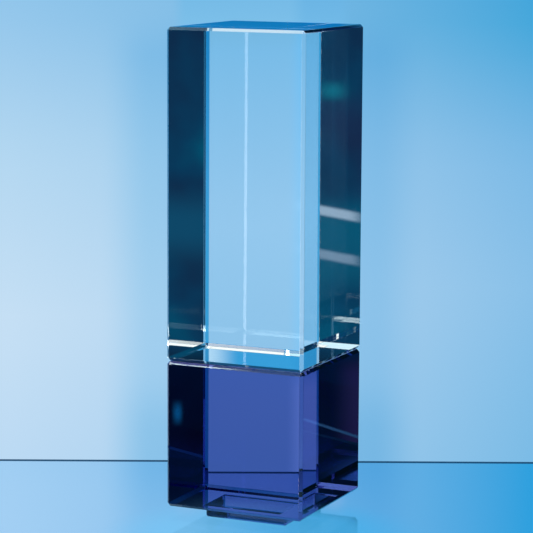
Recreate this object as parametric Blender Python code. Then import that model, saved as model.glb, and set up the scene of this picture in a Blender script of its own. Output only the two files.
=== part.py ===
"""Column trophy of bonded optical crystal.

A tall clear block stands on a cobalt-blue cube of the same square section, and a small
cobalt riser pad is set back under the cube. Each joint is a thin square film of clear
adhesive. Every glass edge carries a flat polished chamfer, so the two chamfers at the
column's joint meet as a V-groove all the way round.

Units are metres and +Z is up. The origin is the middle of the pad's underside, which is
the surface that the trophy stands on. The column's faces look along -X, +X, -Y and +Y.
"""

import bmesh
import bpy

# Driving dimensions.
TOTAL_HEIGHT = 0.200
SECTION_SIDE = 0.060
COBALT_HEIGHT = 0.060
EDGE_CHAMFER = 0.0012
PAD_SIDE = 0.036
PAD_HEIGHT = 0.0055
PAD_CHAMFER = 0.0006
FILM_THICKNESS = 0.0001
FILM_CLEARANCE = 0.0001
FILM_EDGE_INSET = 0.0003

# Heights that follow from them, from the standing surface upwards.
BOND_HEIGHT = FILM_THICKNESS + 2.0 * FILM_CLEARANCE
COBALT_BASE_Z = PAD_HEIGHT + BOND_HEIGHT
COBALT_TOP_Z = COBALT_BASE_Z + COBALT_HEIGHT
CLEAR_BASE_Z = COBALT_TOP_Z + BOND_HEIGHT
CLEAR_HEIGHT = TOTAL_HEIGHT - CLEAR_BASE_Z

# A film fills the flat that its smaller glass face leaves inside the chamfers.
COLUMN_FILM_SIDE = SECTION_SIDE - 2.0 * (EDGE_CHAMFER + FILM_EDGE_INSET)
PAD_FILM_SIDE = PAD_SIDE - 2.0 * (PAD_CHAMFER + FILM_EDGE_INSET)

CLEAR_CRYSTAL_COLOUR = (0.93, 0.98, 0.97, 1.0)
COBALT_CRYSTAL_COLOUR = (0.03, 0.06, 0.42, 1.0)
ADHESIVE_COLOUR = (0.90, 0.95, 0.96, 1.0)
CRYSTAL_IOR = 1.52
ADHESIVE_IOR = 1.49


def clear_scene():
    """Removes whatever the open file holds, so that only the trophy is left."""
    for obj in list(bpy.data.objects):
        bpy.data.objects.remove(obj, do_unlink=True)


def glass_material(name, colour, roughness, ior):
    """A see-through Principled material of one colour."""
    material = bpy.data.materials.new(name)
    material.use_nodes = True
    shader = material.node_tree.nodes["Principled BSDF"]
    shader.inputs["Base Color"].default_value = colour
    shader.inputs["Metallic"].default_value = 0.0
    shader.inputs["Roughness"].default_value = roughness
    shader.inputs["IOR"].default_value = ior
    shader.inputs["Transmission Weight"].default_value = 1.0
    material.diffuse_color = colour
    return material


def square_block(name, side, height, base_z, material, parent):
    """An upright square block standing on the height base_z, with sharp edges."""
    shape = bmesh.new()
    bmesh.ops.create_cube(shape, size=1.0)
    bmesh.ops.scale(shape, vec=(side, side, height), verts=shape.verts)
    bmesh.ops.translate(shape, vec=(0.0, 0.0, height / 2.0), verts=shape.verts)
    mesh = bpy.data.meshes.new(name)
    shape.to_mesh(mesh)
    shape.free()
    mesh.materials.append(material)
    block = bpy.data.objects.new(name, mesh)
    bpy.context.scene.collection.objects.link(block)
    block.parent = parent
    block.location = (0.0, 0.0, base_z)
    return block


def polish_edges(block, chamfer):
    """Gives every edge of a block a flat 45-degree chamfer of this width on each face."""
    bevel = block.modifiers.new("edge_chamfer", "BEVEL")
    bevel.width = chamfer
    bevel.offset_type = "OFFSET"
    bevel.segments = 1
    bevel.limit_method = "NONE"


def add_pad(material, parent):
    """The small square riser pad that lifts the column off the table."""
    pad = square_block("riser_pad", PAD_SIDE, PAD_HEIGHT, 0.0, material, parent)
    polish_edges(pad, PAD_CHAMFER)


def add_pad_film(material, parent):
    """The adhesive between the pad and the cobalt cube."""
    base_z = PAD_HEIGHT + FILM_CLEARANCE
    square_block("pad_bond_film", PAD_FILM_SIDE, FILM_THICKNESS, base_z, material, parent)


def add_cobalt_cube(material, parent):
    """The cobalt-blue lower part of the column."""
    cube = square_block(
        "cobalt_base_block", SECTION_SIDE, COBALT_HEIGHT, COBALT_BASE_Z, material, parent
    )
    polish_edges(cube, EDGE_CHAMFER)


def add_column_film(material, parent):
    """The adhesive between the cobalt cube and the clear block."""
    base_z = COBALT_TOP_Z + FILM_CLEARANCE
    square_block(
        "column_bond_film", COLUMN_FILM_SIDE, FILM_THICKNESS, base_z, material, parent
    )


def add_clear_block(material, parent):
    """The tall clear upper part of the column."""
    block = square_block(
        "clear_column_block", SECTION_SIDE, CLEAR_HEIGHT, CLEAR_BASE_Z, material, parent
    )
    polish_edges(block, EDGE_CHAMFER)


def main():
    clear_scene()
    trophy = bpy.data.objects.new("trophy_axis", None)
    bpy.context.scene.collection.objects.link(trophy)
    clear_crystal = glass_material("clear_crystal", CLEAR_CRYSTAL_COLOUR, 0.0, CRYSTAL_IOR)
    cobalt_crystal = glass_material("cobalt_crystal", COBALT_CRYSTAL_COLOUR, 0.0, CRYSTAL_IOR)
    adhesive = glass_material("clear_adhesive", ADHESIVE_COLOUR, 0.05, ADHESIVE_IOR)
    add_pad(cobalt_crystal, trophy)
    add_pad_film(adhesive, trophy)
    add_cobalt_cube(cobalt_crystal, trophy)
    add_column_film(adhesive, trophy)
    add_clear_block(clear_crystal, trophy)


main()
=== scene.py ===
"""Looks for the column trophy: polished crystal in a blue studio, on a glossy pale table."""

import math
from collections import namedtuple

import bmesh
import bpy
from mathutils import Matrix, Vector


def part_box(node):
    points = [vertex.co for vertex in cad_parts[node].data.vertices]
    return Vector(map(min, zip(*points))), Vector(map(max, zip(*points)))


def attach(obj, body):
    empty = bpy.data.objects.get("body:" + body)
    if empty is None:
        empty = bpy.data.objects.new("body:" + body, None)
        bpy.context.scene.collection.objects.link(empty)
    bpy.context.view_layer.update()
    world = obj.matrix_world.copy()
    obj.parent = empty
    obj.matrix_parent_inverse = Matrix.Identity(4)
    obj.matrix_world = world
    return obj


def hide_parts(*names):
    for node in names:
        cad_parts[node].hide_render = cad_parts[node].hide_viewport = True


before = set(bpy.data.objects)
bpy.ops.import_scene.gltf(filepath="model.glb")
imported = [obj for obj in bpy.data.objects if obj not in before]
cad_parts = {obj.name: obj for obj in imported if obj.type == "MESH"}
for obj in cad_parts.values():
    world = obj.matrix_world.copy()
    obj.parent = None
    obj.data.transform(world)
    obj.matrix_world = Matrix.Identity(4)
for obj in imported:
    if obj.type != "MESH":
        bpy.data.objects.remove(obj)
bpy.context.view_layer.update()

# The main view. Distance and height are in column sections.
CAMERA_AZIMUTH_DEG = 24.60
CAMERA_YAW_DEG = 24.57
CAMERA_PITCH_DEG = 8.68
CAMERA_ROLL_DEG = 0.30
CAMERA_DISTANCE = 15.95
CAMERA_HEIGHT = 4.0435
CAMERA_LENS_MM = 160.8
CAMERA_CLIP_M = (0.05, 50.0)
SENSOR_MM = 36.0
LONGEST_LIGHT_PATH = 32

# The table, in metres: a glossy slab whose straight rear edge runs across the view. Round the
# trophy's foot the mirror gives way to a painted glow: an emitting body that fills in the
# trophy's shadow on the table.
TABLE_REAR = 0.091
TABLE_FRONT = 0.130
TABLE_HALF_WIDTH = 0.30
TABLE_THICKNESS = 0.012
TABLE_CLEARANCE = 0.0001
# Depth of the dark strip of painted shade along the table's rear edge.
TABLE_LINE_DEPTH = 0.0036
TABLE_BODY_SHARE = 0.86
TABLE_GLOW_RADIUS = 0.036
TABLE_GLOW_REACH = 0.070
TABLE_GLOW_FORWARD = 0.040
TABLE_GLOW_HALF_WIDTH = 0.11
# Painted glow: emission colours of the table's body, changing from one side across to the other.
TABLE_GLOW_COLOURS = (
    (0.36, (0.17, 0.51, 0.845)),
    (0.50, (0.09, 0.445, 0.80)),
    (0.64, (0.05, 0.39, 0.76)),
)

# Crystal and adhesive. Absorption is per metre of glass.
Absorption = namedtuple("Absorption", "colour density")
CLEAR_ABSORPTION = Absorption((0.30, 0.72, 0.80, 1.0), 1.4)
COBALT_ABSORPTION = Absorption((0.060, 0.150, 0.66, 1.0), 31.0)
FILM_ABSORPTION = Absorption((0.5, 0.8, 0.9, 1.0), 1.0)
NO_ABSORPTION = Absorption((1.0, 1.0, 1.0, 1.0), 0.0)
CRYSTAL_IOR = 1.52
COLUMN_ADHESIVE_IOR = 1.50
ADHESIVE_EDGE_IOR = 1.50
MATCHED_IOR = 1.0

# What polishing leaves: waves of this length and depth in metres, and specks of haze up to
# this roughness.
Polish = namedtuple("Polish", "wavelength depth haze")
FLAT_POLISH = Polish(0.030, 0.0000015, 0.03)
CHAMFER_POLISH = Polish(0.006, 0.000006, 0.06)
ADHESIVE_FACE_POLISH = Polish(0.004, 0.000001, None)
ADHESIVE_EDGE_POLISH = Polish(0.001, 0.000004, 0.25)
HAZE_SPECKS_PER_METRE = 900.0
HAZY_NOISE = (0.52, 0.72)

# Shaping of the blocks, and the material slots of their faces.
ARRIS_WIDTH = 0.00010
SQUARE_ON = 0.999
MERGE_DISTANCE = 1e-7
COPLANAR_ANGLE_DEG = 1.0
FLAT_SLOT, CHAMFER_SLOT, COLUMN_JOINT_SLOT, PAD_JOINT_SLOT = 0, 1, 2, 3
FILM_FACE_SLOT, FILM_EDGE_SLOT = 0, 1

COLUMN_LOW, COLUMN_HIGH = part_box("cobalt_base_block")
SECTION = COLUMN_HIGH.x - COLUMN_LOW.x

# Colours of the room from the floor up: elevation in degrees, then red, green and blue.
DEEP_BACKDROP = (
    (-60.0, (0.30, 0.50, 0.70)),
    (-30.0, (0.45, 0.65, 0.85)),
    (-20.0, (0.15, 0.45, 0.76)),
    (-13.2, (0.20, 0.50, 0.79)),
    (-9.0, (0.25, 0.53, 0.81)),
    (-6.0, (0.20, 0.49, 0.79)),
    (-3.0, (0.06, 0.39, 0.71)),
    (3.0, (0.02, 0.30, 0.66)),
    (11.0, (0.03, 0.36, 0.73)),
    (26.0, (0.03, 0.36, 0.73)),
    (31.0, (0.003, 0.14, 0.42)),
    (42.0, (0.002, 0.03, 0.08)),
)
PALE_BACKDROP = (
    (-60.0, (0.30, 0.50, 0.70)),
    (-36.0, (0.40, 0.62, 0.82)),
    (-30.0, (0.72, 0.88, 1.00)),
    (-24.0, (0.42, 0.64, 0.87)),
    (-20.0, (0.35, 0.60, 0.85)),
    (-13.2, (0.50, 0.70, 0.90)),
    (-10.0, (0.56, 0.74, 0.91)),
    (-6.0, (0.45, 0.68, 0.88)),
    (-3.0, (0.31, 0.58, 0.84)),
    (3.0, (0.12, 0.45, 0.76)),
    (11.0, (0.30, 0.58, 0.86)),
    (14.0, (0.38, 0.64, 0.90)),
    (26.0, (0.34, 0.60, 0.87)),
    (31.0, (0.003, 0.14, 0.42)),
    (42.0, (0.002, 0.03, 0.08)),
)
MIDDLE_BACKDROP = (
    (-60.0, (0.25, 0.45, 0.65)),
    (-31.0, (0.30, 0.55, 0.82)),
    (-20.0, (0.25, 0.53, 0.84)),
    (-13.2, (0.35, 0.62, 0.92)),
    (-10.0, (0.39, 0.66, 0.93)),
    (-6.0, (0.30, 0.60, 0.89)),
    (-3.0, (0.20, 0.52, 0.84)),
    (3.0, (0.09, 0.42, 0.78)),
    (11.0, (0.20, 0.50, 0.82)),
    (16.0, (0.34, 0.60, 0.87)),
    (40.0, (0.30, 0.56, 0.84)),
    (50.0, (0.05, 0.20, 0.40)),
)
BACKDROP_WING = (
    (-31.0, (0.05, 0.30, 0.55)),
    (-13.0, (0.03, 0.30, 0.60)),
    (-10.0, (0.04, 0.37, 0.74)),
    (-7.5, (0.05, 0.38, 0.76)),
    (-5.0, (0.03, 0.32, 0.70)),
    (-3.0, (0.01, 0.25, 0.62)),
    (0.0, (0.02, 0.28, 0.64)),
    (10.0, (0.03, 0.32, 0.66)),
    (18.0, (0.003, 0.05, 0.12)),
)
GLOW_BEHIND = (
    (-36.0, (0.40, 0.62, 0.82)),
    (-14.0, (0.28, 0.55, 0.80)),
    (-12.0, (0.32, 0.58, 0.84)),
    (-10.5, (0.31, 0.61, 0.90)),
    (-7.5, (0.345, 0.64, 0.93)),
    (-3.1, (0.21, 0.55, 0.88)),
    (-2.8, (0.20, 0.52, 0.81)),
    (2.9, (0.004, 0.25, 0.64)),
    (11.3, (0.047, 0.39, 0.78)),
    (13.0, (0.22, 0.45, 0.78)),
    (15.0, (0.26, 0.50, 0.79)),
    (20.0, (0.11, 0.50, 0.88)),
    (31.0, (0.003, 0.14, 0.42)),
    (42.0, (0.002, 0.03, 0.08)),
)

# Colours of the dark quarters, by the value of their cloudy noise.
DARK_CLOUDS = (
    (0.35, (0.005, 0.020, 0.060)),
    (0.50, (0.003, 0.040, 0.100)),
    (0.65, (0.001, 0.080, 0.155)),
)

# Where one colour gives way to another. The change starts at the first value and is complete
# at the second. Angles are in degrees. Openness is +1 in the middle of a lit quarter of the
# room and -1 in the middle of a dark one.
PALE_OPENNESS = (0.59, 0.88)
MIDDLE_OPENNESS = (0.90, 0.96)
PAST_WING_OPENNESS = (0.0, 0.50)
LIT_OPENNESS = (-0.50, -0.10)
LIT_AZIMUTH = (152.0, 146.0)
PURPLE_CLOUDS = (0.50, 0.62)
PURPLE_AZIMUTH = (90.0, 120.0)
GLOW_RIGHT_AZIMUTH = (24.1, 23.6)
GLOW_LOW_ELEVATION = (-11.0, -11.6)
GLOW_HIGH_ELEVATION = (-3.1, -2.8)
GLINT_AZIMUTH = (25.2, 26.0)
BESIDE_LEVEL = (2.4, 3.8)
SKIRT_ELEVATION = (35.5, 38.0)
CANOPY_ELEVATION = (52.0, 56.0)
CANOPY_NEAR_AZIMUTH = (-10.0, 10.0)
SOFTBOX_ELEVATION = (70.0, 74.0)

# Single colours, and tints and shades that multiply what they cover.
GLOW_LOW_TINT = (1.7, 1.40, 1.28, 1.0)
GLOW_MIDDLE_TINT = (0.82, 1.03, 1.11, 1.0)
GLOW_HIGH_TINT = (0.82, 0.93, 0.98, 1.0)
GLINT_COLOUR = (0.48, 0.76, 1.0, 1.0)
# Painted shadow of the trophy on the backdrop just beside it, deeper again low down.
BESIDE_SHADE = (0.74, 0.90, 0.97, 1.0)
LOW_DOWN_SHADE = (0.80, 0.92, 0.96, 1.0)
PURPLE_COLOUR = (0.014, 0.022, 0.075, 1.0)
DIM_SHADE = (0.9, 0.35, 0.35, 1.0)
SKIRT_COLOUR = (0.85, 1.05, 1.10, 1.0)
SKIRT_GROOVE_COLOUR = (0.50, 1.40, 0.95, 1.0)
CANOPY_FAR_COLOUR = (1.30, 1.25, 1.20, 1.0)
CANOPY_NEAR_COLOUR = (0.75, 1.05, 1.20, 1.0)
SOFTBOX_COLOUR = (8.0, 8.0, 8.0, 1.0)

# Windows on the room: centre, half width and softness, in degrees.
GLOW_ACROSS = (24.7, 1.8, 0.4)
GLINT_UP = (11.2, 0.8, 1.5)
BESIDE_ACROSS = (24.67, 2.7, 1.3)
LOW_DOWN_LEVEL = (13.0, 0.3, 1.6)
PURPLE_UP = (-5.8, 1.0, 0.5)
DIM_LEVEL = (14.3, 3.2, 0.6)
SKIRT_GROOVE_ACROSS = (33.0, 4.0, 2.0)

# Soft-edged patches of the room, with a window across by azimuth and one up by elevation.
Patch = namedtuple("Patch", "across up colour")
CORNER_GLOW = Patch((52.0, 4.0, 3.0), (-12.7, 1.3, 0.5), (0.50, 0.90, 1.25))
DARK_SLIT = Patch((26.5, 3.0, 0.5), (19.2, 1.1, 0.5), (0.01, 0.08, 0.17))
DULL_STRETCHES = (
    Patch((58.2, 2.6, 2.0), (-6.0, 6.0, 2.0), (0.06, 0.42, 0.80)),
    Patch((67.5, 3.0, 2.0), (-6.0, 6.0, 2.0), (0.01, 0.09, 0.20)),
    Patch((-119.0, 7.0, 2.0), (-6.0, 6.0, 2.0), (0.01, 0.09, 0.20)),
)
TEAL_PATCHES = (
    Patch((157.0, 6.0, 4.0), (-8.2, 0.5, 0.9), (0.003, 0.095, 0.175)),
    Patch((-26.7, 4.0, 4.0), (-7.7, 0.1, 1.1), (0.001, 0.065, 0.140)),
)
VIOLET_PATCH = Patch((-22.2, 0.1, 0.7), (-12.3, 1.0, 0.6), (0.06, 0.05, 0.24))
TEAL_SMUDGE = Patch((157.0, 0.0, 0.5), (-4.45, 0.0, 0.32), (0.003, 0.17, 0.25))
FAR_LIGHT = Patch((-26.74, 0.0, 0.17), (-12.2, 0.0, 0.36), (0.01, 0.36, 0.42))
NEAR_CORNER_LAMP = Patch((108.0, 6.4, 1.4), (59.5, 2.4, 1.2), (9.0, 10.8, 10.0))
FAR_CORNER_LAMP = Patch((-65.6, 5.0, 2.0), (65.4, 2.0, 1.0), (3.4, 3.9, 4.0))
FRONT_LAMP = Patch((-176.0, 2.0, 0.7), (6.7, 17.1, 0.5), (4.0, 4.0, 4.2))

# Sloping lines of light. Each falls by so many degrees per degree across, and its height is
# given at the pivot's azimuth.
Slope = namedtuple("Slope", "fall pivot")
STREAK_SLOPE = Slope(0.18, 157.2)
STREAKS = (
    Patch((156.9, 0.5, 0.5), (-7.40, 0.06, 0.10), (0.38, 0.52, 0.68)),
    Patch((156.9, 0.5, 0.5), (-8.45, 0.06, 0.10), (0.21, 0.33, 0.47)),
)
THIN_LINE_SLOPE = Slope(0.31, 0.0)
THIN_LINE = Patch((-22.3, 1.0, 1.4), (-19.67, 0.015, 0.035), (0.08, 0.30, 0.75))


def value_or_link(tree, socket, value):
    """Sets an input socket to a number or colour, or links another node's output to it."""
    if isinstance(value, bpy.types.NodeSocket):
        tree.links.new(value, socket)
    else:
        socket.default_value = value


def math_node(tree, operation, first, second=0.0):
    node = tree.nodes.new("ShaderNodeMath")
    node.operation = operation
    value_or_link(tree, node.inputs[0], first)
    value_or_link(tree, node.inputs[1], second)
    return node.outputs["Value"]


def map_range(tree, value, low, high, to_low=0.0, to_high=1.0, smooth=False):
    node = tree.nodes.new("ShaderNodeMapRange")
    node.interpolation_type = "SMOOTHSTEP" if smooth else "LINEAR"
    value_or_link(tree, node.inputs["Value"], value)
    node.inputs["From Min"].default_value = low
    node.inputs["From Max"].default_value = high
    node.inputs["To Min"].default_value = to_low
    node.inputs["To Max"].default_value = to_high
    return node.outputs["Result"]


def fade(tree, value, ends):
    """0 at the first end and 1 at the second, smooth in between."""
    return map_range(tree, value, *ends, smooth=True)


def product(tree, first, second):
    return math_node(tree, "MULTIPLY", first, second)


def mix_colour(tree, factor, first, second, blend="MIX"):
    node = tree.nodes.new("ShaderNodeMix")
    node.data_type = "RGBA"
    node.blend_type = blend
    value_or_link(tree, node.inputs["Factor"], factor)
    value_or_link(tree, node.inputs["A"], first)
    value_or_link(tree, node.inputs["B"], second)
    return node.outputs["Result"]


def colour_ramp(tree, value, stops):
    """A colour ramp through stops, each a position and its red, green and blue."""
    node = tree.nodes.new("ShaderNodeValToRGB")
    ramp = node.color_ramp
    for element, (position, colour) in zip(ramp.elements, (stops[0], stops[-1])):
        element.position, element.color = position, rgb(*colour)
    for position, colour in stops[1:-1]:
        ramp.elements.new(position).color = rgb(*colour)
    value_or_link(tree, node.inputs["Fac"], value)
    return node.outputs["Color"]


def rgb(red, green, blue):
    return (red, green, blue, 1.0)


def window(tree, value, centre, half_width, softness):
    """1 within the half width of the centre, fading smoothly to 0 over the softness beyond it."""
    distance = math_node(tree, "ABSOLUTE", math_node(tree, "SUBTRACT", value, centre))
    return map_range(tree, distance, half_width + softness, half_width, smooth=True)


Sky = namedtuple("Sky", "tree direction azimuth elevation level openness")


def sky_coordinates(tree):
    """Where in the room a ray looks, in degrees.

    Azimuth 0 is the direction that the camera looks in when it faces the trophy's front.
    Level is the elevation without its sign.
    """
    direction = tree.nodes.new("ShaderNodeTexCoord").outputs["Generated"]
    split = tree.nodes.new("ShaderNodeSeparateXYZ")
    tree.links.new(direction, split.inputs[0])
    x, y, z = split.outputs
    turn = math_node(tree, "ARCTAN2", product(tree, x, -1.0), y)
    azimuth = product(tree, turn, 180.0 / math.pi)
    elevation = product(tree, math_node(tree, "ARCSINE", z), 180.0 / math.pi)
    level = math_node(tree, "ABSOLUTE", elevation)
    openness = math_node(tree, "SINE", product(tree, turn, 2.0))
    return Sky(tree, direction, azimuth, elevation, level, openness)


def elevation_ramp(sky, stops):
    """Colours by elevation."""
    height = map_range(sky.tree, sky.elevation, -90.0, 90.0)
    positions = [((degrees + 90.0) / 180.0, colour) for degrees, colour in stops]
    return colour_ramp(sky.tree, height, positions)


def slanted(sky, slope):
    """An elevation that stays the same along a line of this slope."""
    beyond_pivot = math_node(sky.tree, "SUBTRACT", sky.azimuth, slope.pivot)
    fallen = product(sky.tree, beyond_pivot, slope.fall)
    return math_node(sky.tree, "ADD", sky.elevation, fallen)


def paint(sky, room, patch, blend="MIX", up=None):
    """Lays a patch over the room. Up replaces the elevation that its window is measured in."""
    cover = product(
        sky.tree,
        window(sky.tree, sky.azimuth, *patch.across),
        window(sky.tree, sky.elevation if up is None else up, *patch.up),
    )
    return mix_colour(sky.tree, cover, room, rgb(*patch.colour), blend=blend)


def glow_behind(sky):
    """The backdrop straight behind the trophy in the main view, with its right part tinted."""
    tree = sky.tree
    glow = elevation_ramp(sky, GLOW_BEHIND)
    low = map_range(tree, sky.elevation, *GLOW_LOW_ELEVATION)
    tint = mix_colour(tree, low, GLOW_MIDDLE_TINT, GLOW_LOW_TINT)
    high = map_range(tree, sky.elevation, *GLOW_HIGH_ELEVATION)
    tint = mix_colour(tree, high, tint, GLOW_HIGH_TINT)
    right_part = fade(tree, sky.azimuth, GLOW_RIGHT_AZIMUTH)
    glow = mix_colour(tree, right_part, glow, tint, blend="MULTIPLY")
    glint = product(
        tree, fade(tree, sky.azimuth, GLINT_AZIMUTH), window(tree, sky.elevation, *GLINT_UP)
    )
    return mix_colour(tree, glint, glow, GLINT_COLOUR)


def lit_quarters(sky):
    """The two opposite quarters of the room that hold a backdrop."""
    tree = sky.tree
    deep = elevation_ramp(sky, DEEP_BACKDROP)
    pale = elevation_ramp(sky, PALE_BACKDROP)
    middle = elevation_ramp(sky, MIDDLE_BACKDROP)
    wing = elevation_ramp(sky, BACKDROP_WING)
    backdrop = mix_colour(tree, map_range(tree, sky.openness, *PALE_OPENNESS), deep, pale)
    backdrop = mix_colour(tree, fade(tree, sky.openness, MIDDLE_OPENNESS), backdrop, middle)

    # Painted shadow of the trophy: the backdrop is a little deeper just beside it, most of all
    # low down.
    beside = product(
        tree, window(tree, sky.azimuth, *BESIDE_ACROSS), fade(tree, sky.level, BESIDE_LEVEL)
    )
    backdrop = mix_colour(tree, beside, backdrop, BESIDE_SHADE, blend="MULTIPLY")
    low_down = product(tree, beside, window(tree, sky.level, *LOW_DOWN_LEVEL))
    backdrop = mix_colour(tree, low_down, backdrop, LOW_DOWN_SHADE, blend="MULTIPLY")

    backdrop = paint(sky, backdrop, CORNER_GLOW)
    glow_share = window(tree, sky.azimuth, *GLOW_ACROSS)
    backdrop = mix_colour(tree, glow_share, backdrop, glow_behind(sky))
    backdrop = paint(sky, backdrop, DARK_SLIT)
    backdrop = mix_colour(tree, fade(tree, sky.openness, PAST_WING_OPENNESS), wing, backdrop)
    for stretch in DULL_STRETCHES:
        backdrop = paint(sky, backdrop, stretch)
    return backdrop


def room_noise(sky, scale, detail):
    """Cloudy noise over the whole room."""
    noise = sky.tree.nodes.new("ShaderNodeTexNoise")
    noise.inputs["Scale"].default_value = scale
    noise.inputs["Detail"].default_value = detail
    sky.tree.links.new(sky.direction, noise.inputs["Vector"])
    return noise.outputs["Fac"]


def dark_quarters(sky):
    """The two unlit quarters: cloudy deep blue with teal and violet patches."""
    tree = sky.tree
    dark = colour_ramp(tree, room_noise(sky, scale=22.0, detail=3.0), DARK_CLOUDS)
    purple = product(
        tree,
        fade(tree, room_noise(sky, scale=9.0, detail=2.0), PURPLE_CLOUDS),
        map_range(tree, sky.azimuth, *PURPLE_AZIMUTH),
    )
    purple = product(tree, purple, window(tree, sky.elevation, *PURPLE_UP))
    dark = mix_colour(tree, purple, dark, PURPLE_COLOUR)
    for patch in TEAL_PATCHES:
        dark = paint(sky, dark, patch, blend="LIGHTEN")
    dim = window(tree, sky.level, *DIM_LEVEL)
    dark = mix_colour(tree, dim, dark, DIM_SHADE, blend="MULTIPLY")
    dark = paint(sky, dark, VIOLET_PATCH)
    return paint(sky, dark, TEAL_SMUDGE)


def lit_share(sky):
    """1 where the backdrop hangs and 0 where the room is dark."""
    turned = math_node(sky.tree, "ABSOLUTE", sky.azimuth)
    return product(
        sky.tree, fade(sky.tree, sky.openness, LIT_OPENNESS), fade(sky.tree, turned, LIT_AZIMUTH)
    )


def add_low_lights(sky, room):
    """Two sloping streaks, a thin sloping line and a faint far light, seen as reflections."""
    streak_height = slanted(sky, STREAK_SLOPE)
    for streak in STREAKS:
        room = paint(sky, room, streak, up=streak_height)
    room = paint(sky, room, THIN_LINE, up=slanted(sky, THIN_LINE_SLOPE))
    return paint(sky, room, FAR_LIGHT)


def add_high_lights(sky, room):
    """A pale skirt and canopy, the softbox straight overhead and three lamps."""
    tree = sky.tree
    groove_side = window(tree, sky.azimuth, *SKIRT_GROOVE_ACROSS)
    skirt = mix_colour(tree, groove_side, SKIRT_COLOUR, SKIRT_GROOVE_COLOUR)
    near_side = map_range(tree, sky.azimuth, *CANOPY_NEAR_AZIMUTH)
    canopy = mix_colour(tree, near_side, CANOPY_FAR_COLOUR, CANOPY_NEAR_COLOUR)
    room = mix_colour(tree, fade(tree, sky.elevation, SKIRT_ELEVATION), room, skirt)
    room = mix_colour(tree, fade(tree, sky.elevation, CANOPY_ELEVATION), room, canopy)
    softbox = fade(tree, sky.elevation, SOFTBOX_ELEVATION)
    room = mix_colour(tree, softbox, room, SOFTBOX_COLOUR)
    for lamp in (NEAR_CORNER_LAMP, FAR_CORNER_LAMP, FRONT_LAMP):
        room = paint(sky, room, lamp)
    return room


def build_world():
    """A blue studio painted on the world: lit and dark quarters, low lights and high ones."""
    world = bpy.data.worlds.new("blue_studio")
    bpy.context.scene.world = world
    world.use_nodes = True
    tree = world.node_tree
    tree.nodes.clear()
    sky = sky_coordinates(tree)
    room = mix_colour(tree, lit_share(sky), dark_quarters(sky), lit_quarters(sky))
    room = add_low_lights(sky, room)
    room = add_high_lights(sky, room)
    background = tree.nodes.new("ShaderNodeBackground")
    tree.links.new(room, background.inputs["Color"])
    output = tree.nodes.new("ShaderNodeOutputWorld")
    tree.links.new(background.outputs[0], output.inputs["Surface"])


def glass_material(name, ior, absorption):
    """Optical glass whose colour comes from absorption along the light's path."""
    material = bpy.data.materials.new(name)
    material.use_nodes = True
    tree = material.node_tree
    shader = tree.nodes["Principled BSDF"]
    shader.inputs["Base Color"].default_value = rgb(1.0, 1.0, 1.0)
    shader.inputs["Roughness"].default_value = 0.0
    shader.inputs["IOR"].default_value = ior
    shader.inputs["Transmission Weight"].default_value = 1.0
    volume = tree.nodes.new("ShaderNodeVolumeAbsorption")
    volume.inputs["Color"].default_value = absorption.colour
    volume.inputs["Density"].default_value = absorption.density
    tree.links.new(volume.outputs[0], tree.nodes["Material Output"].inputs["Volume"])
    return material


def add_waves(material, polish):
    """A bump from the slow waves that polishing leaves."""
    tree = material.node_tree
    place = tree.nodes.new("ShaderNodeTexCoord").outputs["Object"]
    waves = tree.nodes.new("ShaderNodeTexNoise")
    waves.inputs["Scale"].default_value = 1.0 / polish.wavelength
    waves.inputs["Detail"].default_value = 1.0
    tree.links.new(place, waves.inputs["Vector"])
    bump = tree.nodes.new("ShaderNodeBump")
    bump.inputs["Strength"].default_value = 1.0
    bump.inputs["Distance"].default_value = polish.depth
    tree.links.new(waves.outputs["Fac"], bump.inputs["Height"])
    tree.links.new(bump.outputs["Normal"], tree.nodes["Principled BSDF"].inputs["Normal"])


def add_haze(material, polish):
    """Drives the roughness from a fine noise: clean polish with faint hazy specks."""
    tree = material.node_tree
    place = tree.nodes.new("ShaderNodeTexCoord").outputs["Object"]
    specks = tree.nodes.new("ShaderNodeTexNoise")
    specks.inputs["Scale"].default_value = HAZE_SPECKS_PER_METRE
    specks.inputs["Detail"].default_value = 3.0
    tree.links.new(place, specks.inputs["Vector"])
    haze = map_range(tree, specks.outputs["Fac"], *HAZY_NOISE, to_high=polish.haze)
    tree.links.new(haze, tree.nodes["Principled BSDF"].inputs["Roughness"])


def polished_glass(name, ior, absorption, polish):
    """Glass with the marks of its polish."""
    material = glass_material(name, ior, absorption)
    add_waves(material, polish)
    if polish.haze:
        add_haze(material, polish)
    return material


def crystal_set(name, absorption):
    """The materials of one block, in slot order: flats, chamfers and the two kinds of joint.

    A joint's IOR is the ratio across the bonded face. The thick column joint still mirrors
    at a grazing angle. The pad joint doesn't show at all, and light that crosses it keeps
    the absorption of the block that it comes from.
    """
    joint_ior = CRYSTAL_IOR / COLUMN_ADHESIVE_IOR
    return [
        polished_glass(name, CRYSTAL_IOR, absorption, FLAT_POLISH),
        polished_glass(name + "_chamfer", CRYSTAL_IOR, absorption, CHAMFER_POLISH),
        glass_material(name + "_column_joint", joint_ior, absorption),
        glass_material(name + "_pad_joint", MATCHED_IOR, NO_ABSORPTION),
    ]


def adhesive_set():
    """The adhesive's materials in slot order: its faces, which don't show, and its edge."""
    return [
        polished_glass("adhesive", MATCHED_IOR, FILM_ABSORPTION, ADHESIVE_FACE_POLISH),
        polished_glass("adhesive_edge", ADHESIVE_EDGE_IOR, FILM_ABSORPTION, ADHESIVE_EDGE_POLISH),
    ]


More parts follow.
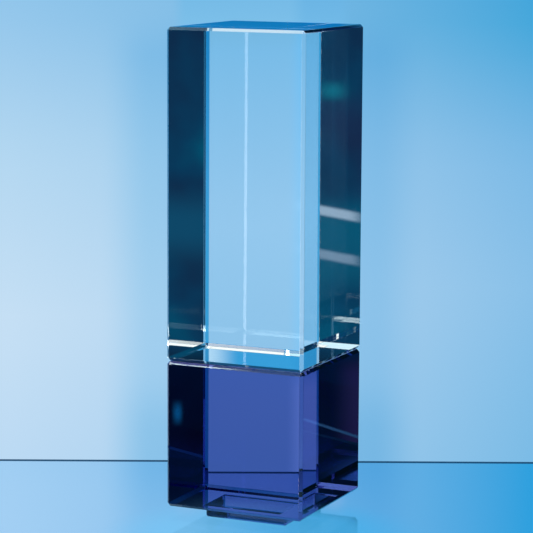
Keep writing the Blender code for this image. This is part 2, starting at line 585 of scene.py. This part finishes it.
def block_shape(node):
    """The CAD block in world coordinates, as flat faces without the CAD mesh's triangulation."""
    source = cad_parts[node]
    shape = bmesh.new()
    shape.from_mesh(source.data)
    shape.transform(source.matrix_world)
    bmesh.ops.remove_doubles(shape, verts=shape.verts, dist=MERGE_DISTANCE)
    bmesh.ops.dissolve_limit(
        shape,
        angle_limit=math.radians(COPLANAR_ANGLE_DEG),
        verts=shape.verts,
        edges=shape.edges,
    )
    return shape


def area_facing(face, outward):
    """The face's area if it looks straight up (outward 1) or down (outward -1), otherwise 0."""
    return face.calc_area() if face.normal.z * outward > SQUARE_ON else 0.0


def mark_bonded(shape, upward, film_node, joint_slot):
    """Cuts the film's square out of the block's top or underside and marks it as bonded."""
    film_low, film_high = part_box(film_node)
    outward = 1.0 if upward else -1.0
    face = max(shape.faces, key=lambda candidate: area_facing(candidate, outward))
    side = max(v.co.x for v in face.verts) - min(v.co.x for v in face.verts)
    inset = (side - (film_high.x - film_low.x)) / 2.0
    bmesh.ops.inset_region(shape, faces=[face], thickness=inset, use_even_offset=True)
    face.material_index = joint_slot


def add_block(node, materials, joints):
    """Stands a polished block for a CAD block, with its arrises softened."""
    shape = block_shape(node)
    bmesh.ops.bevel(
        shape, geom=shape.edges, offset=ARRIS_WIDTH, segments=2, profile=0.5, affect="EDGES"
    )
    for face in shape.faces:
        is_flat = max(abs(component) for component in face.normal) > SQUARE_ON
        face.material_index = FLAT_SLOT if is_flat else CHAMFER_SLOT
    for upward, film_node, joint_slot in joints:
        mark_bonded(shape, upward, film_node, joint_slot)
    finish_piece(node, materials, shape)


def add_film(node, materials):
    """An adhesive film: its two faces vanish into the glass and its edge stays in sight."""
    shape = block_shape(node)
    for face in shape.faces:
        is_edge = abs(face.normal.z) < 0.5
        face.material_index = FILM_EDGE_SLOT if is_edge else FILM_FACE_SLOT
    finish_piece(node, materials, shape)


def mesh_object(name, shape, materials):
    """A new object in the scene, made from a shape that it uses up."""
    mesh = bpy.data.meshes.new(name)
    shape.to_mesh(mesh)
    shape.free()
    for material in materials:
        mesh.materials.append(material)
    obj = bpy.data.objects.new(name, mesh)
    bpy.context.scene.collection.objects.link(obj)
    return obj


def finish_piece(node, materials, shape):
    """Puts a finished shape in the CAD node's place."""
    piece = mesh_object(node + "_polished", shape, materials)
    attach(piece, "root")
    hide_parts(node)


def add_table_block(name, y_low, y_high, material):
    """A strip of the table across the camera's view, between two distances from the axis."""
    shape = bmesh.new()
    bmesh.ops.create_cube(shape, size=1.0)
    size = (2.0 * TABLE_HALF_WIDTH, y_high - y_low, TABLE_THICKNESS)
    bmesh.ops.scale(shape, vec=size, verts=shape.verts)
    centre = (0.0, (y_low + y_high) / 2.0, -TABLE_CLEARANCE - TABLE_THICKNESS / 2.0)
    bmesh.ops.translate(shape, vec=centre, verts=shape.verts)
    block = mesh_object(name, shape, [material])
    block.rotation_euler.z = math.radians(CAMERA_YAW_DEG)


def table_mirror_with_painted_glow():
    """Stands in for pale blue acrylic: a mirror with a painted glow round the trophy's foot."""
    material = bpy.data.materials.new("table_mirror_with_painted_glow")
    material.use_nodes = True
    tree = material.node_tree
    mirror = tree.nodes["Principled BSDF"]
    mirror.inputs["Base Color"].default_value = rgb(0.95, 0.97, 1.0)
    mirror.inputs["Metallic"].default_value = 1.0
    mirror.inputs["Roughness"].default_value = 0.05

    place = tree.nodes.new("ShaderNodeTexCoord").outputs["Object"]
    split = tree.nodes.new("ShaderNodeSeparateXYZ")
    tree.links.new(place, split.inputs[0])
    across = map_range(
        tree, split.outputs["X"], -TABLE_GLOW_HALF_WIDTH, TABLE_GLOW_HALF_WIDTH
    )
    # The body's emission is painted light, a glow that fills in the trophy's shadow on the table.
    body = tree.nodes.new("ShaderNodeBsdfPrincipled")
    body.inputs["Base Color"].default_value = rgb(0.02, 0.04, 0.05)
    tree.links.new(colour_ramp(tree, across, TABLE_GLOW_COLOURS), body.inputs["Emission Color"])
    body.inputs["Emission Strength"].default_value = 1.0
    body.inputs["Roughness"].default_value = 0.5
    body.inputs["Specular IOR Level"].default_value = 0.0

    # The painted glow is strongest round the trophy's foot and gives way to the mirror further
    # out.
    distance = tree.nodes.new("ShaderNodeVectorMath")
    distance.operation = "DISTANCE"
    tree.links.new(place, distance.inputs[0])
    distance.inputs[1].default_value = (0.0, -TABLE_GLOW_FORWARD, 0.0)
    share = map_range(
        tree, distance.outputs["Value"], TABLE_GLOW_RADIUS, TABLE_GLOW_REACH,
        to_low=TABLE_BODY_SHARE, to_high=0.0, smooth=True,
    )
    mix = tree.nodes.new("ShaderNodeMixShader")
    tree.links.new(share, mix.inputs["Fac"])
    tree.links.new(mirror.outputs[0], mix.inputs[1])
    tree.links.new(body.outputs[0], mix.inputs[2])
    tree.links.new(mix.outputs[0], tree.nodes["Material Output"].inputs["Surface"])
    return material


def table_edge_painted_shade():
    """Painted shade: a dark strip standing in for the shaded bevel along the table's rear edge.
    """
    material = bpy.data.materials.new("table_edge_painted_shade")
    material.use_nodes = True
    shader = material.node_tree.nodes["Principled BSDF"]
    shader.inputs["Base Color"].default_value = rgb(0.002, 0.03, 0.08)
    shader.inputs["Roughness"].default_value = 0.4
    shader.inputs["Specular IOR Level"].default_value = 0.1
    return material


def add_table():
    line_front = TABLE_REAR - TABLE_LINE_DEPTH
    add_table_block("table_slab", -TABLE_FRONT, line_front, table_mirror_with_painted_glow())
    add_table_block("table_rear_edge", line_front, TABLE_REAR, table_edge_painted_shade())


def add_camera():
    """The main view's camera, aimed by yaw, pitch and roll."""
    data = bpy.data.cameras.new("studio_camera")
    data.lens = CAMERA_LENS_MM
    data.sensor_width = SENSOR_MM
    data.clip_start, data.clip_end = CAMERA_CLIP_M
    camera = bpy.data.objects.new("studio_camera", data)
    azimuth = math.radians(CAMERA_AZIMUTH_DEG)
    reach = CAMERA_DISTANCE * SECTION
    camera.location = (
        reach * math.sin(azimuth),
        -reach * math.cos(azimuth),
        COLUMN_LOW.z + CAMERA_HEIGHT * SECTION,
    )
    turn = Matrix.Rotation(math.radians(CAMERA_YAW_DEG), 3, "Z")
    tilt = Matrix.Rotation(math.radians(90.0 - CAMERA_PITCH_DEG), 3, "X")
    roll = Matrix.Rotation(math.radians(CAMERA_ROLL_DEG), 3, "Z")
    camera.rotation_euler = (turn @ tilt @ roll).to_euler()
    bpy.context.scene.collection.objects.link(camera)
    bpy.context.scene.camera = camera


def set_up_light():
    """Light bounces many times inside the blocks, so its paths are long, with plain colours."""
    scene = bpy.context.scene
    scene.cycles.max_bounces = LONGEST_LIGHT_PATH
    scene.cycles.glossy_bounces = LONGEST_LIGHT_PATH
    scene.cycles.transmission_bounces = LONGEST_LIGHT_PATH
    scene.view_settings.view_transform = "Standard"


clear = crystal_set("clear_crystal", CLEAR_ABSORPTION)
cobalt = crystal_set("cobalt_crystal", COBALT_ABSORPTION)
film = adhesive_set()
add_block("clear_column_block", clear, [
    (False, "column_bond_film", COLUMN_JOINT_SLOT),
])
add_block("cobalt_base_block", cobalt, [
    (True, "column_bond_film", COLUMN_JOINT_SLOT),
    (False, "pad_bond_film", PAD_JOINT_SLOT),
])
add_block("riser_pad", cobalt, [
    (True, "pad_bond_film", PAD_JOINT_SLOT),
])
add_film("column_bond_film", film)
add_film("pad_bond_film", film)
add_table()
build_world()
add_camera()
set_up_light()
